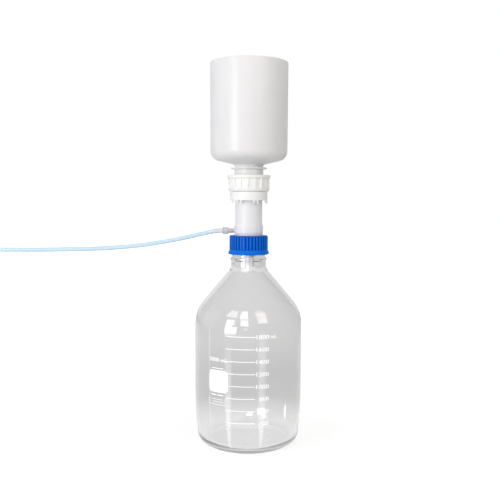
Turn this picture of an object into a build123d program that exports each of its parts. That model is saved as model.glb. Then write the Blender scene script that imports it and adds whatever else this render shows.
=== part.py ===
"""Vacuum filtration unit: funnel and filter holder on a 2 litre laboratory bottle.

Millimetres. The origin is the centre of the bottle's base, +Z is up, the graduations face -Y
and the vacuum line leaves towards -X.
"""

import math
import os

from build123d import *

# --- Bottle -----------------------------------------------------------------------------------
BOTTLE_R = 68.0
BOTTLE_HEIGHT = 260.0
BOTTLE_WALL = 2.7
BASE_CONTACT_R = 50.0
BASE_CORNER_R = 15.0
PUSH_UP = 3.0
FLOOR_EDGE_R = 45.0
FLOOR_CORNER_R = 9.0
FLOOR_RISE = 1.5
BASE_FLOOR_Z = 7.0
TAPER_FOOT_R = 63.3
TAPER_FOOT_INNER_R = 61.0
TAPER_TOP_Z = 38.8
TAPER_BLEND = 400.0
TAPER_INNER_BLEND = 300.0
SHOULDER_Z = 169.0
SHOULDER_FILLET = 40.0
NECK_R = 22.2
NECK_FOOT_Z = 223.7
NECK_FOOT_FILLET = 14.0
NECK_INNER_R = 18.6
NECK_INNER_FILLET = 12.0
BEAD_R = 23.3
BEAD_Z = 233.0
BEAD_HEIGHT = 4.5
BEAD_SLOPE = 0.9
BEAD_FILLET = 0.8
MOUTH_R = 15.8
MOUTH_SLOPE_Z = (243.0, 251.0)
MOUTH_SLOPE_FILLET = 9.0
LIP_FILLET = 1.3

# --- Screw threads ----------------------------------------------------------------------------
NECK_PITCH = 4.0
NECK_ROOT_R = 20.9
NECK_CREST_R = 22.3
NECK_THREAD_Z = 246.5
NECK_THREAD_LENGTH = 7.6
NECK_THREAD_WIDTHS = (2.2, 1.0)
CAP_THREAD_Z = 244.6
CAP_THREAD_WIDTHS = (2.0, 0.8)
HOLDER_PITCH = 3.0
HOLDER_ROOT_R = 20.9
HOLDER_CREST_R = 22.1
HOLDER_THREAD_Z = 321.9
HOLDER_THREAD_LENGTH = 5.1
HOLDER_THREAD_WIDTHS = (1.7, 0.7)
NUT_THREAD_Z = 323.4
NUT_THREAD_WIDTHS = (1.5, 0.6)
THREAD_SINK = 0.4
THREAD_GAP = 0.35

# --- Screw cap --------------------------------------------------------------------------------
CAP_Z = 241.0
CAP_HEIGHT = 24.0
CAP_BODY_R = 24.0
CAP_RIB_R = 24.5
CAP_FOOT_R = 25.9
CAP_FOOT_HEIGHT = 3.2
CAP_TOP_WALL = 2.0
CAP_TOP_FILLET = 1.6
CAP_FILLET = 0.5
CAP_APERTURE_R = 18.7
CAP_RIBS = 36
CAP_RIB_START = 6.2
CAP_RIB_Z = 244.9
CAP_RIB_LENGTH = 16.5
CAP_RIB_DEPTH = 1.2
CAP_RIB_WIDTH = 2.4
CAP_SHELF_Z = 245.5

# --- Adapter and drip tube --------------------------------------------------------------------
GASKET_THICK = 1.0
FLANGE_R = 21.2
FLANGE_THICK = 2.0
HUB_R = 18.25
HUB_TOP_Z = 278.0
HUB_CHAMFER = 0.5
TUBE_R = 17.0
TUBE_BORE_R = 14.8
TUBE_TOP_Z = 315.0
DRIP_R = 7.5
DRIP_BORE_R = 5.6
DRIP_TIP_Z = 218.0
DRIP_TOP_Z = 319.0
DRIP_CHAMFER = 0.8
SOCKET_FIT = 0.05

# --- Filter holder ----------------------------------------------------------------------------
RING_R = 23.6
RING_Z = 309.0
RING_TOP_Z = 320.0
RING_WALL = 1.6
RING_ROOF = 3.0
SLEEVE_R = 19.2
BOSS_R = 10.5
STUB_ANGLES = (-60.7, -39.7, -26.5, 17.1, 29.3, 66.8, 90.5, 137.0, 150.0, 209.5)
STUB_WIDTH = 2.6
STUB_DROP = 2.3
STUB_INSET = 0.3
CONE_FOOT_Z = 321.2
HOLDER_TOP_Z = 329.0
SCREEN_R = 18.7
SCREEN_THICK = 1.5
SCREEN_HOLE_R = 0.8
SCREEN_RINGS = 5
SCREEN_RING_STEP = 3.0
LEDGE_R = 17.2
MEMBRANE_R = 18.5
MEMBRANE_THICK = 0.2
SEAL_THICK = 1.5
SEAL_R = 20.4
SEAL_BORE_R = 15.9

# --- Collar nut -------------------------------------------------------------------------------
NUT_Z = 320.3
NUT_TOP_Z = 340.6
NUT_R = 26.0
NUT_PANEL_R = 25.2
NUT_FOOT_R = 24.4
NUT_FLANGE_R = 27.2
NUT_FLANGE_Z = 337.0
NUT_FLANGE_CHAMFER = 0.5
NUT_FLARE = ((25.6, 321.5), (26.0, 323.8))
NUT_PANEL_Z = (324.5, 336.4)
NUT_APERTURE_R = 19.0
NUT_RIBS = 18
NUT_RIB_Z = 323.3
NUT_RIB_DEPTH = 1.4
NUT_RIB_WIDTH = 1.7
NUT_RIB_START = -92.0

# --- Funnel -----------------------------------------------------------------------------------
SOCKET_R = 20.7
SOCKET_TOP_Z = 336.7
FUNNEL_NECK_R = 18.1
FUNNEL_WALL = 1.6
FUNNEL_FOOT_Z = 333.0
FUNNEL_SHOULDER_Z = 353.7
FUNNEL_BODY_FOOT_Z = 361.2
FUNNEL_BODY_R = 48.3
FUNNEL_RIM_R = 48.85
FUNNEL_RIM_Z = 479.4
FUNNEL_CORNER = 11.5
FUNNEL_THROAT_FILLET = 2.0
FUNNEL_RIM_FILLET = 0.6
FUNNEL_FLOOR_RISE = 1.25
TRANSFER_RING_R = 22.6
TRANSFER_RING_Z = 348.4
TRANSFER_RING_THICK = 1.8

# --- Vacuum line ------------------------------------------------------------------------------
PORT_Z = 270.6
PORT_R = 2.95
PORT_FOOT_X = -15.3
PORT_END_X = -30.0
PORT_BORE_RADII = (2.1, 2.0)
PORT_BORE_DEPTH = 8.0
PORT_DUCT_R = 1.5
PORT_RINGS = (-20.4, -22.1, -23.8)
PORT_RING_R = 3.4
PORT_RING_THICK = 0.8
PORT_WALL = 0.4
PORT_SEAT_X = -17.0
PORT_SEAT_R = 4.1
PORT_SEAL_R = 4.05
PORT_SEAL_BORE_R = 2.97
PORT_SEAL_THICK = 1.3
LUG_R = 3.6
LUG_X = -28.8
LUG_WIDTH = 2.4
LUG_THICK = 1.0
LOCK_RING_R = 4.05
LOCK_RING_X = -25.6
LOCK_RING_LENGTH = 7.4
LOCK_RING_BORE_R = 3.75
LOCK_RING_EYE_R = 2.4
LOCK_RING_END_WALL = 2.4
LOCK_RING_RIBS = 12
LOCK_RING_RIB_R = 4.35
LOCK_RING_RIB_WIDTH = 0.9
LOCK_RING_PLAY = 0.3
HOSE_R = 2.8
HOSE_BORE_R = 1.7
NOSE_LENGTH = 9.0
NOSE_RADII = (1.85, 2.05)
NOSE_BORE_R = 0.9
RETAINER_X = (-3.1, -2.7)
RETAINER_R = 3.3
COLLAR_R = 2.3
BARB_R = 1.9
BARB_ROOT_R = 1.5
BARB_TIP_R = 1.3
BARB_STEPS = (3.5, 6.5)
BARB_LENGTH = 9.5
HOSE_ROUTE = (
    (-33.2, 0.0, 270.6),
    (-44.0, 0.0, 270.3),
    (-64.5, -0.3, 265.2),
    (-97.0, -0.4, 258.1),
    (-134.0, 0.4, 251.7),
    (-179.0, 1.4, 247.5),
    (-229.0, 1.0, 245.9),
    (-281.0, -0.4, 245.2),
    (-326.0, -0.9, 245.4),
)


def add_thread(root_r, tip_r, pitch, start_z, length, widths):
    """Add a helical ridge to the part in hand, outwards or inwards, with its root and tip widths."""
    base, tip = widths
    sink = math.copysign(THREAD_SINK, root_r - tip_r)
    rise = tip_r - root_r
    with BuildLine() as helix:
        Helix(pitch=pitch, height=length, radius=root_r, center=(0, 0, start_z))
    with BuildSketch(Plane(origin=(root_r, 0, start_z), x_dir=(1, 0, 0), z_dir=(0, 1, 0))) as ridge:
        with BuildLine():
            Polyline((sink, -base / 2), (rise, -tip / 2), (rise, tip / 2), (sink, base / 2), close=True)
        make_face()
    sweep(sections=ridge.sketch, path=helix.line, is_frenet=True)


def add_ring(inner_r, outer_r, start_z, thickness):
    """Add a flat ring to the part in hand."""
    with BuildSketch(Plane.XY.offset(start_z)) as ring:
        Circle(outer_r)
        Circle(inner_r, mode=Mode.SUBTRACT)
    extrude(ring.sketch, amount=thickness)


def make_hose_barb(face_x, axis_y, axis_z, way, label):
    """A male luer hose fitting whose collar face is at face_x; the barb points along way (-1 or 1)."""
    with BuildPart() as fitting:
        with BuildSketch(Plane(origin=(face_x, axis_y, axis_z), x_dir=(way, 0, 0), z_dir=(0, -way, 0))):
            with BuildLine():
                Polyline(
                    (-NOSE_LENGTH, NOSE_BORE_R),
                    (-NOSE_LENGTH, NOSE_RADII[0]),
                    (RETAINER_X[0], NOSE_RADII[1]),
                    (RETAINER_X[0], RETAINER_R),
                    (RETAINER_X[1], RETAINER_R),
                    (RETAINER_X[1], COLLAR_R),
                    (0.0, COLLAR_R),
                    (0.0, BARB_ROOT_R),
                    (BARB_STEPS[0], BARB_R),
                    (BARB_STEPS[0], BARB_ROOT_R),
                    (BARB_STEPS[1], BARB_R),
                    (BARB_STEPS[1], BARB_ROOT_R),
                    (BARB_LENGTH, BARB_TIP_R),
                    (BARB_LENGTH, NOSE_BORE_R),
                    close=True,
                )
            make_face()
        revolve(axis=Axis((face_x, axis_y, axis_z), (1, 0, 0)))
    fitting.part.label = label
    return fitting


def make_lock_ring(face_x, axis_y, axis_z, way, label):
    """The turning ring of a luer lock; its closed end is at face_x and faces along way."""
    with BuildPart() as ring:
        with BuildSketch(Plane(origin=(face_x, axis_y, axis_z), x_dir=(way, 0, 0), z_dir=(0, -way, 0))):
            with BuildLine():
                Polyline(
                    (-LOCK_RING_LENGTH, LOCK_RING_BORE_R),
                    (-LOCK_RING_LENGTH, LOCK_RING_R),
                    (0.0, LOCK_RING_R),
                    (0.0, LOCK_RING_EYE_R),
                    (-LOCK_RING_END_WALL, LOCK_RING_EYE_R),
                    (-LOCK_RING_END_WALL, LOCK_RING_BORE_R),
                    close=True,
                )
            make_face()
        revolve(axis=Axis((face_x, axis_y, axis_z), (1, 0, 0)))
        rib_depth = 2 * (LOCK_RING_RIB_R - LOCK_RING_R) - 0.1
        with BuildSketch(Plane(origin=(face_x, axis_y, axis_z), x_dir=(0, 1, 0), z_dir=(-way, 0, 0))):
            with PolarLocations(LOCK_RING_RIB_R - rib_depth / 2, LOCK_RING_RIBS):
                Rectangle(rib_depth, LOCK_RING_RIB_WIDTH)
        extrude(amount=LOCK_RING_LENGTH)
    ring.part.label = label
    return ring


# --- Glass bottle: blown body, moulded neck with thread, pushed-up base ---------------------------
cone_slope = (NECK_FOOT_Z - SHOULDER_Z) / (BOTTLE_R - NECK_R)
cone_drop = 1.07 * BOTTLE_WALL * math.hypot(1.0, cone_slope)
dome_r = (BASE_CONTACT_R**2 + PUSH_UP**2) / (2 * PUSH_UP)
floor_dome_r = (FLOOR_EDGE_R**2 + FLOOR_RISE**2) / (2 * FLOOR_RISE)
inner_r = BOTTLE_R - BOTTLE_WALL
inner_shoulder_z = SHOULDER_Z + cone_slope * BOTTLE_WALL - cone_drop
inner_neck_z = SHOULDER_Z + cone_slope * (BOTTLE_R - NECK_INNER_R) - cone_drop

with BuildPart() as glass_bottle:
    with BuildSketch(Plane.XZ):
        with BuildLine():
            RadiusArc((0, PUSH_UP), (BASE_CONTACT_R, 0), dome_r)
            FilletPolyline(
                (BASE_CONTACT_R, 0),
                (TAPER_FOOT_R, 0),
                (BOTTLE_R, TAPER_TOP_Z),
                (BOTTLE_R, SHOULDER_Z),
                (NECK_R, NECK_FOOT_Z),
                (NECK_R, BEAD_Z),
                (BEAD_R, BEAD_Z + BEAD_SLOPE),
                (BEAD_R, BEAD_Z + BEAD_HEIGHT - BEAD_SLOPE),
                (NECK_ROOT_R, BEAD_Z + BEAD_HEIGHT),
                (NECK_ROOT_R, BOTTLE_HEIGHT),
                (MOUTH_R, BOTTLE_HEIGHT),
                (MOUTH_R, MOUTH_SLOPE_Z[1]),
                (NECK_INNER_R, MOUTH_SLOPE_Z[0]),
                (NECK_INNER_R, inner_neck_z),
                (inner_r, inner_shoulder_z),
                (inner_r, TAPER_TOP_Z),
                (TAPER_FOOT_INNER_R, BASE_FLOOR_Z),
                (FLOOR_EDGE_R, BASE_FLOOR_Z),
                radius=[
                    BASE_CORNER_R,
                    TAPER_BLEND,
                    SHOULDER_FILLET,
                    NECK_FOOT_FILLET,
                    BEAD_FILLET / 2,
                    BEAD_FILLET,
                    BEAD_FILLET,
                    BEAD_FILLET / 2,
                    LIP_FILLET,
                    LIP_FILLET,
                    MOUTH_SLOPE_FILLET,
                    MOUTH_SLOPE_FILLET,
                    NECK_INNER_FILLET,
                    SHOULDER_FILLET - BOTTLE_WALL,
                    TAPER_INNER_BLEND,
                    FLOOR_CORNER_R,
                ],
            )
            RadiusArc((FLOOR_EDGE_R, BASE_FLOOR_Z), (0, BASE_FLOOR_Z + FLOOR_RISE), -floor_dome_r)
            Line((0, BASE_FLOOR_Z + FLOOR_RISE), (0, PUSH_UP))
        make_face()
    revolve(axis=Axis.Z)
    add_thread(NECK_ROOT_R, NECK_CREST_R, NECK_PITCH, NECK_THREAD_Z, NECK_THREAD_LENGTH, NECK_THREAD_WIDTHS)
glass_bottle.part.label = "glass_bottle"

# --- Bottle gasket and adapter tube ---------------------------------------------------------------
flange_z = BOTTLE_HEIGHT + GASKET_THICK

with BuildPart() as bottle_gasket:
    add_ring(MOUTH_R + 0.4, FLANGE_R - 0.3, BOTTLE_HEIGHT, GASKET_THICK)
bottle_gasket.part.label = "bottle_gasket"

with BuildPart() as adapter_tube:
    with BuildSketch(Plane.XZ):
        with BuildLine():
            Polyline(
                (TUBE_BORE_R, flange_z),
                (FLANGE_R, flange_z),
                (FLANGE_R, flange_z + FLANGE_THICK),
                (HUB_R, flange_z + FLANGE_THICK),
                (HUB_R, HUB_TOP_Z - HUB_CHAMFER),
                (HUB_R - HUB_CHAMFER, HUB_TOP_Z),
                (TUBE_R, HUB_TOP_Z),
                (TUBE_R, TUBE_TOP_Z),
                (TUBE_BORE_R, TUBE_TOP_Z),
                close=True,
            )
        make_face()
    revolve(axis=Axis.Z)
    with BuildSketch(Plane(origin=(0, 0, PORT_Z), x_dir=(0, 1, 0), z_dir=(-1, 0, 0))):
        Circle(PORT_R + SOCKET_FIT)
    extrude(amount=2 * HUB_R, mode=Mode.SUBTRACT)
    with BuildSketch(Plane(origin=(PORT_SEAT_X, 0, PORT_Z), x_dir=(0, 1, 0), z_dir=(-1, 0, 0))):
        Circle(PORT_SEAT_R)
    extrude(amount=HUB_R, mode=Mode.SUBTRACT)
adapter_tube.part.label = "adapter_tube"

# --- Drip tube: carries the filtrate below the vacuum port ----------------------------------------
with BuildPart() as drip_tube:
    add_ring(DRIP_BORE_R, DRIP_R, DRIP_TIP_Z, DRIP_TOP_Z - DRIP_TIP_Z)
    tip_edges = drip_tube.edges().filter_by(GeomType.CIRCLE).group_by(Axis.Z)[0]
    chamfer(tip_edges.sort_by(SortBy.RADIUS)[-1], length=DRIP_CHAMFER)
drip_tube.part.label = "drip_tube"

# --- Blue screw cap with an open top, held captive above the flange -------------------------------
cap_bore_r = NECK_CREST_R + THREAD_GAP
cap_thread_r = NECK_ROOT_R + THREAD_GAP
cap_top_z = CAP_Z + CAP_HEIGHT

with BuildPart() as screw_cap:
    with BuildSketch(Plane.XZ):
        with BuildLine():
            FilletPolyline(
                (cap_bore_r, CAP_Z),
                (CAP_FOOT_R, CAP_Z),
                (CAP_FOOT_R, CAP_Z + CAP_FOOT_HEIGHT),
                (CAP_BODY_R, CAP_SHELF_Z),
                (CAP_BODY_R, cap_top_z),
                (CAP_APERTURE_R, cap_top_z),
                radius=[CAP_FILLET, CAP_FILLET, CAP_FILLET, CAP_TOP_FILLET],
            )
            Polyline(
                (CAP_APERTURE_R, cap_top_z),
                (CAP_APERTURE_R, cap_top_z - CAP_TOP_WALL),
                (cap_bore_r, cap_top_z - CAP_TOP_WALL),
                (cap_bore_r, CAP_Z),
            )
        make_face()
    revolve(axis=Axis.Z)
    with BuildSketch(Plane.XY.offset(CAP_RIB_Z)):
        with PolarLocations(CAP_RIB_R - CAP_RIB_DEPTH / 2, CAP_RIBS, start_angle=CAP_RIB_START):
            Rectangle(CAP_RIB_DEPTH, CAP_RIB_WIDTH)
    extrude(amount=CAP_RIB_LENGTH)
    add_thread(cap_bore_r, cap_thread_r, NECK_PITCH, CAP_THREAD_Z, NECK_THREAD_LENGTH, CAP_THREAD_WIDTHS)
screw_cap.part.label = "screw_cap"

# --- Filter base: socket for the adapter tube, collecting cone, thread for the nut ----------------
screen_z = HOLDER_TOP_Z - MEMBRANE_THICK - SCREEN_THICK

with BuildPart() as filter_base:
    with BuildSketch(Plane.XZ):
        with BuildLine():
            Polyline(
                (DRIP_R + SOCKET_FIT, RING_Z),
                (BOSS_R, RING_Z),
                (BOSS_R, TUBE_TOP_Z + GASKET_THICK),
                (TUBE_R + SOCKET_FIT, TUBE_TOP_Z + GASKET_THICK),
                (TUBE_R + SOCKET_FIT, RING_Z),
                (SLEEVE_R, RING_Z),
                (SLEEVE_R, RING_TOP_Z - RING_ROOF),
                (RING_R - RING_WALL, RING_TOP_Z - RING_ROOF),
                (RING_R - RING_WALL, RING_Z),
                (RING_R, RING_Z),
                (RING_R, RING_TOP_Z),
                (HOLDER_ROOT_R, RING_TOP_Z),
                (HOLDER_ROOT_R, HOLDER_TOP_Z),
                (SCREEN_R + 2 * SOCKET_FIT, HOLDER_TOP_Z),
                (SCREEN_R + 2 * SOCKET_FIT, screen_z),
                (LEDGE_R, screen_z),
                (DRIP_BORE_R, CONE_FOOT_Z),
                (DRIP_BORE_R, DRIP_TOP_Z),
                (DRIP_R + SOCKET_FIT, DRIP_TOP_Z),
                close=True,
            )
        make_face()
    revolve(axis=Axis.Z)
    add_thread(
        HOLDER_ROOT_R,
        HOLDER_CREST_R,
        HOLDER_PITCH,
        HOLDER_THREAD_Z,
        HOLDER_THREAD_LENGTH,
        HOLDER_THREAD_WIDTHS,
    )
    for stub_angle in STUB_ANGLES:
        outward = Vector(1, 0, 0).rotate(Axis.Z, stub_angle - 90.0)
        sideways = Vector(0, 1, 0).rotate(Axis.Z, stub_angle - 90.0)
        stub_origin = outward * (RING_R - RING_WALL) + Vector(0, 0, RING_Z)
        with BuildSketch(Plane(origin=stub_origin, x_dir=sideways, z_dir=outward)):
            with Locations((0, -STUB_DROP)):
                Circle(STUB_WIDTH / 2)
                Rectangle(STUB_WIDTH, STUB_DROP + 1.0, align=(Align.CENTER, Align.MIN))
        extrude(amount=RING_WALL - STUB_INSET)
filter_base.part.label = "filter_base"

with BuildPart() as tube_seal:
    add_ring(TUBE_BORE_R + SOCKET_FIT, TUBE_R - SOCKET_FIT, TUBE_TOP_Z, GASKET_THICK)
tube_seal.part.label = "tube_seal"

# --- Filter media ---------------------------------------------------------------------------------
with BuildPart() as support_screen:
    with BuildSketch(Plane.XY.offset(screen_z)):
        Circle(SCREEN_R)
        Circle(SCREEN_HOLE_R, mode=Mode.SUBTRACT)
        for ring_index in range(1, SCREEN_RINGS + 1):
            with PolarLocations(ring_index * SCREEN_RING_STEP, 6 * ring_index):
                Circle(SCREEN_HOLE_R, mode=Mode.SUBTRACT)
    extrude(amount=SCREEN_THICK)
support_screen.part.label = "support_screen"

with BuildPart() as membrane_filter:
    with BuildSketch(Plane.XY.offset(HOLDER_TOP_Z - MEMBRANE_THICK)):
        Circle(MEMBRANE_R)
    extrude(amount=MEMBRANE_THICK)
membrane_filter.part.label = "membrane_filter"

with BuildPart() as filter_gasket:
    add_ring(SEAL_BORE_R, SEAL_R, HOLDER_TOP_Z, SEAL_THICK)
filter_gasket.part.label = "filter_gasket"

# --- Collar nut: clamps the socket's flange on the filter base ------------------------------------
nut_bore_r = HOLDER_CREST_R + THREAD_GAP
nut_thread_r = HOLDER_ROOT_R + THREAD_GAP

with BuildPart() as collar_nut:
    with BuildSketch(Plane.XZ):
        with BuildLine():
            Polyline(
                (nut_bore_r, NUT_Z),
                (NUT_FOOT_R, NUT_Z),
                *NUT_FLARE,
                (NUT_PANEL_R, NUT_PANEL_Z[0]),
                (NUT_PANEL_R, NUT_PANEL_Z[1]),
                (NUT_FLANGE_R, NUT_FLANGE_Z),
                (NUT_FLANGE_R, NUT_TOP_Z - NUT_FLANGE_CHAMFER),
                (NUT_FLANGE_R - NUT_FLANGE_CHAMFER, NUT_TOP_Z),
                (NUT_APERTURE_R, NUT_TOP_Z),
                (NUT_APERTURE_R, NUT_FLANGE_Z),
                (nut_bore_r, NUT_FLANGE_Z),
                close=True,
            )
        make_face()
    revolve(axis=Axis.Z)
    with BuildSketch(Plane.XY.offset(NUT_RIB_Z)):
        with PolarLocations(NUT_R - NUT_RIB_DEPTH / 2, NUT_RIBS, start_angle=NUT_RIB_START):
            Rectangle(NUT_RIB_DEPTH, NUT_RIB_WIDTH)
    extrude(amount=NUT_FLANGE_Z - NUT_RIB_Z)
    add_thread(nut_bore_r, nut_thread_r, HOLDER_PITCH, NUT_THREAD_Z, HOLDER_THREAD_LENGTH, NUT_THREAD_WIDTHS)
collar_nut.part.label = "collar_nut"

# --- Funnel socket and seal on the foot of the funnel's neck --------------------------------------
socket_z = HOLDER_TOP_Z + SEAL_THICK
funnel_seal_z = FUNNEL_FOOT_Z - GASKET_THICK

with BuildPart() as funnel_socket:
    add_ring(SEAL_BORE_R, SOCKET_R, socket_z, SOCKET_TOP_Z - socket_z)
    with BuildSketch(Plane.XY.offset(funnel_seal_z)):
        Circle(FUNNEL_NECK_R + SOCKET_FIT)
    extrude(amount=SOCKET_TOP_Z - funnel_seal_z, mode=Mode.SUBTRACT)
funnel_socket.part.label = "funnel_socket"

with BuildPart() as funnel_seal:
    add_ring(FUNNEL_NECK_R - FUNNEL_WALL, FUNNEL_NECK_R, funnel_seal_z, GASKET_THICK)
funnel_seal.part.label = "funnel_seal"

# --- Funnel: blow moulded neck down, its base cut open --------------------------------------------
with BuildPart() as funnel:
    with BuildSketch(Plane.XZ):
        with BuildLine():
            FilletPolyline(
                (FUNNEL_NECK_R, FUNNEL_FOOT_Z),
                (FUNNEL_NECK_R, FUNNEL_SHOULDER_Z),
                (FUNNEL_BODY_R, FUNNEL_BODY_FOOT_Z),
                (FUNNEL_RIM_R, FUNNEL_RIM_Z),
                (FUNNEL_RIM_R - FUNNEL_WALL, FUNNEL_RIM_Z),
                (FUNNEL_BODY_R - FUNNEL_WALL, FUNNEL_BODY_FOOT_Z + FUNNEL_FLOOR_RISE),
                (FUNNEL_NECK_R - FUNNEL_WALL, FUNNEL_SHOULDER_Z + FUNNEL_FLOOR_RISE),
                (FUNNEL_NECK_R - FUNNEL_WALL, FUNNEL_FOOT_Z),
                radius=[
                    FUNNEL_THROAT_FILLET,
                    FUNNEL_CORNER,
                    FUNNEL_RIM_FILLET,
                    FUNNEL_RIM_FILLET,
                    FUNNEL_CORNER - FUNNEL_WALL,
                    FUNNEL_THROAT_FILLET + FUNNEL_WALL,
                ],
            )
            Line((FUNNEL_NECK_R - FUNNEL_WALL, FUNNEL_FOOT_Z), (FUNNEL_NECK_R, FUNNEL_FOOT_Z))
        make_face()
    revolve(axis=Axis.Z)
    add_ring(FUNNEL_NECK_R - FUNNEL_WALL / 2, TRANSFER_RING_R, TRANSFER_RING_Z, TRANSFER_RING_THICK)
funnel.part.label = "funnel"

# --- Vacuum port: clear ribbed stub pressed in the hub, with the lugs of a luer lock --------------
port_axis = Axis((0, 0, PORT_Z), (-1, 0, 0))

with BuildPart() as vacuum_port:
    with BuildSketch(Plane(origin=(0, 0, PORT_Z), x_dir=(-1, 0, 0), z_dir=(0, 1, 0))):
        with BuildLine():
            Polyline(
                (-PORT_FOOT_X, PORT_DUCT_R),
                (-PORT_FOOT_X, PORT_R),
                (-PORT_END_X, PORT_R),
                (-PORT_END_X, PORT_BORE_RADII[0]),
                (-PORT_END_X - PORT_BORE_DEPTH, PORT_BORE_RADII[1]),
                (-PORT_END_X - PORT_BORE_DEPTH, PORT_DUCT_R),
                close=True,
            )
        make_face()
    revolve(axis=port_axis)
    for ring_x in PORT_RINGS:
        with BuildSketch(Plane(origin=(ring_x, 0, PORT_Z), x_dir=(0, 1, 0), z_dir=(-1, 0, 0))):
            Circle(PORT_RING_R)
            Circle(PORT_R - PORT_WALL, mode=Mode.SUBTRACT)
        extrude(amount=PORT_RING_THICK)
    with BuildSketch(Plane(origin=(LUG_X, 0, PORT_Z), x_dir=(0, 1, 0), z_dir=(-1, 0, 0))):
        Circle(LUG_R)
        Rectangle(LUG_WIDTH, 2 * LUG_R, mode=Mode.INTERSECT)
        Circle(PORT_R - PORT_WALL, mode=Mode.SUBTRACT)
    extrude(amount=LUG_THICK)
vacuum_port.part.label = "vacuum_port"

with BuildPart() as port_seal:
    with BuildSketch(Plane(origin=(PORT_SEAT_X, 0, PORT_Z), x_dir=(0, 1, 0), z_dir=(-1, 0, 0))):
        Circle(PORT_SEAL_R)
        Circle(PORT_SEAL_BORE_R, mode=Mode.SUBTRACT)
    extrude(amount=PORT_SEAL_THICK)
port_seal.part.label = "port_seal"

luer_lock_ring = make_lock_ring(LOCK_RING_X - LOCK_RING_LENGTH, 0, PORT_Z, -1, "luer_lock_ring")
hose_barb = make_hose_barb(HOSE_ROUTE[0][0], 0, PORT_Z, -1, "hose_barb")

# --- Vacuum line: flexible hose, straight runs joined by tangent arcs -----------------------------
route_points = [Vector(*point) for point in HOSE_ROUTE]
bend_radii = []
for before, corner, after in zip(route_points, route_points[1:], route_points[2:]):
    turn = math.radians((corner - before).get_angle(after - corner))
    shorter_run = min((corner - before).length, (after - corner).length)
    bend_radii.append(0.45 * shorter_run / math.tan(turn / 2))

with BuildLine() as hose_path:
    FilletPolyline(*route_points, radius=bend_radii)

with BuildPart() as vacuum_tubing:
    with BuildSketch(Plane(origin=hose_path.line @ 0, z_dir=hose_path.line % 0)):
        Circle(HOSE_R)
        Circle(HOSE_BORE_R, mode=Mode.SUBTRACT)
    sweep(path=hose_path.line)
vacuum_tubing.part.label = "vacuum_tubing"

hose_section = math.pi * (HOSE_R**2 - HOSE_BORE_R**2)
hose_length = sum(edge.length for edge in hose_path.line.edges())
print("hose bend radii", [round(radius) for radius in bend_radii])
print("hose length", round(hose_length, 1))
print("hose volume ratio", round(vacuum_tubing.part.volume / (hose_section * hose_length), 4))

# --- Far connector: the same fitting turned round, for the pump side ------------------------------
far_x, far_y, far_z = HOSE_ROUTE[-1]
far_hose_barb = make_hose_barb(far_x, far_y, far_z, 1, "far_hose_barb")
far_lock_ring = make_lock_ring(far_x - LOCK_RING_PLAY, far_y, far_z, 1, "far_lock_ring")

pieces = [
    glass_bottle,
    bottle_gasket,
    adapter_tube,
    drip_tube,
    screw_cap,
    filter_base,
    tube_seal,
    support_screen,
    membrane_filter,
    filter_gasket,
    collar_nut,
    funnel_socket,
    funnel_seal,
    funnel,
    vacuum_port,
    port_seal,
    luer_lock_ring,
    hose_barb,
    vacuum_tubing,
    far_hose_barb,
    far_lock_ring,
]

os.makedirs("parts", exist_ok=True)
for piece in pieces:
    export_step(piece.part, f"parts/{piece.part.label}.step")
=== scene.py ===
"""Vacuum filtration unit: a funnel and filter holder screwed on a two litre bottle. Metres, +Z up."""

import math

import bmesh
import bpy
from mathutils import Euler, Matrix, Vector


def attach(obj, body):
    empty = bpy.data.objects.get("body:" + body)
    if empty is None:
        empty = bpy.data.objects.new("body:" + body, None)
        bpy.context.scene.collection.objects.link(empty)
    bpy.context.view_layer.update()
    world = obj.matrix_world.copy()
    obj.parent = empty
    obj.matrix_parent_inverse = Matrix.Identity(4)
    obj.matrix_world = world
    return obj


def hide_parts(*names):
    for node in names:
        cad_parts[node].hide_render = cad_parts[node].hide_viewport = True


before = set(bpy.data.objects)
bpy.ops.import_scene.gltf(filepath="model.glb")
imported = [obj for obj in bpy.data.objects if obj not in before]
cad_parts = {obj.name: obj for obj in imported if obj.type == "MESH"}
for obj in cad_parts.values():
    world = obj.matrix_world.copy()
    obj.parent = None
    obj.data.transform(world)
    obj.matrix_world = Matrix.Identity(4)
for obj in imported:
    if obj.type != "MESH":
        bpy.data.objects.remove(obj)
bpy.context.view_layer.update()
mm = 0.001

# ---------------------------------------------------------------- Studio
# A white sweep, tall softboxes at the front left, weaker ones in front and at the right, and painted
# reflections: bright panes in the sky and fans on the table that only clean mirror images show and that
# light nothing. The camera looks slightly down on the bottle.

camera_data = bpy.data.cameras.new("camera")
camera_data.sensor_width = 36.0
camera_data.lens = 49.17
camera_data.clip_end = 50.0
camera = bpy.data.objects.new("camera", camera_data)
bpy.context.scene.collection.objects.link(camera)
camera_tilt = Euler((math.radians(85.67), 0.0, 0.0)).to_matrix()
camera_turn = camera_tilt @ Matrix.Rotation(math.radians(0.23), 3, "Z")
camera.matrix_world = Matrix.Translation((1.8 * mm, -866.6 * mm, 311.7 * mm)) @ camera_turn.to_4x4()
bpy.context.scene.camera = camera
bpy.context.scene.view_settings.view_transform = "Standard"


def linear(code):
    """An sRGB hex colour as linear RGBA."""
    shares = [int(code[i : i + 2], 16) / 255 for i in (1, 3, 5)]
    return (*[c / 12.92 if c <= 0.04045 else ((c + 0.055) / 1.055) ** 2.4 for c in shares], 1.0)


def add_node(tree, kind, inputs=None, **settings):
    """Adds a shader node with its settings; an input takes a value or another node's output."""
    node = tree.nodes.new(kind)
    for name, value in settings.items():
        setattr(node, name, value)
    for name, value in (inputs or {}).items():
        if isinstance(value, bpy.types.NodeSocket):
            tree.links.new(value, node.inputs[name])
        else:
            node.inputs[name].default_value = value
    return node


def new_material(name):
    """An empty material: its node tree and its output node."""
    material = bpy.data.materials.new(name)
    material.use_nodes = True
    material.node_tree.nodes.clear()
    output = add_node(material.node_tree, "ShaderNodeOutputMaterial")
    return material, material.node_tree, output


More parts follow.
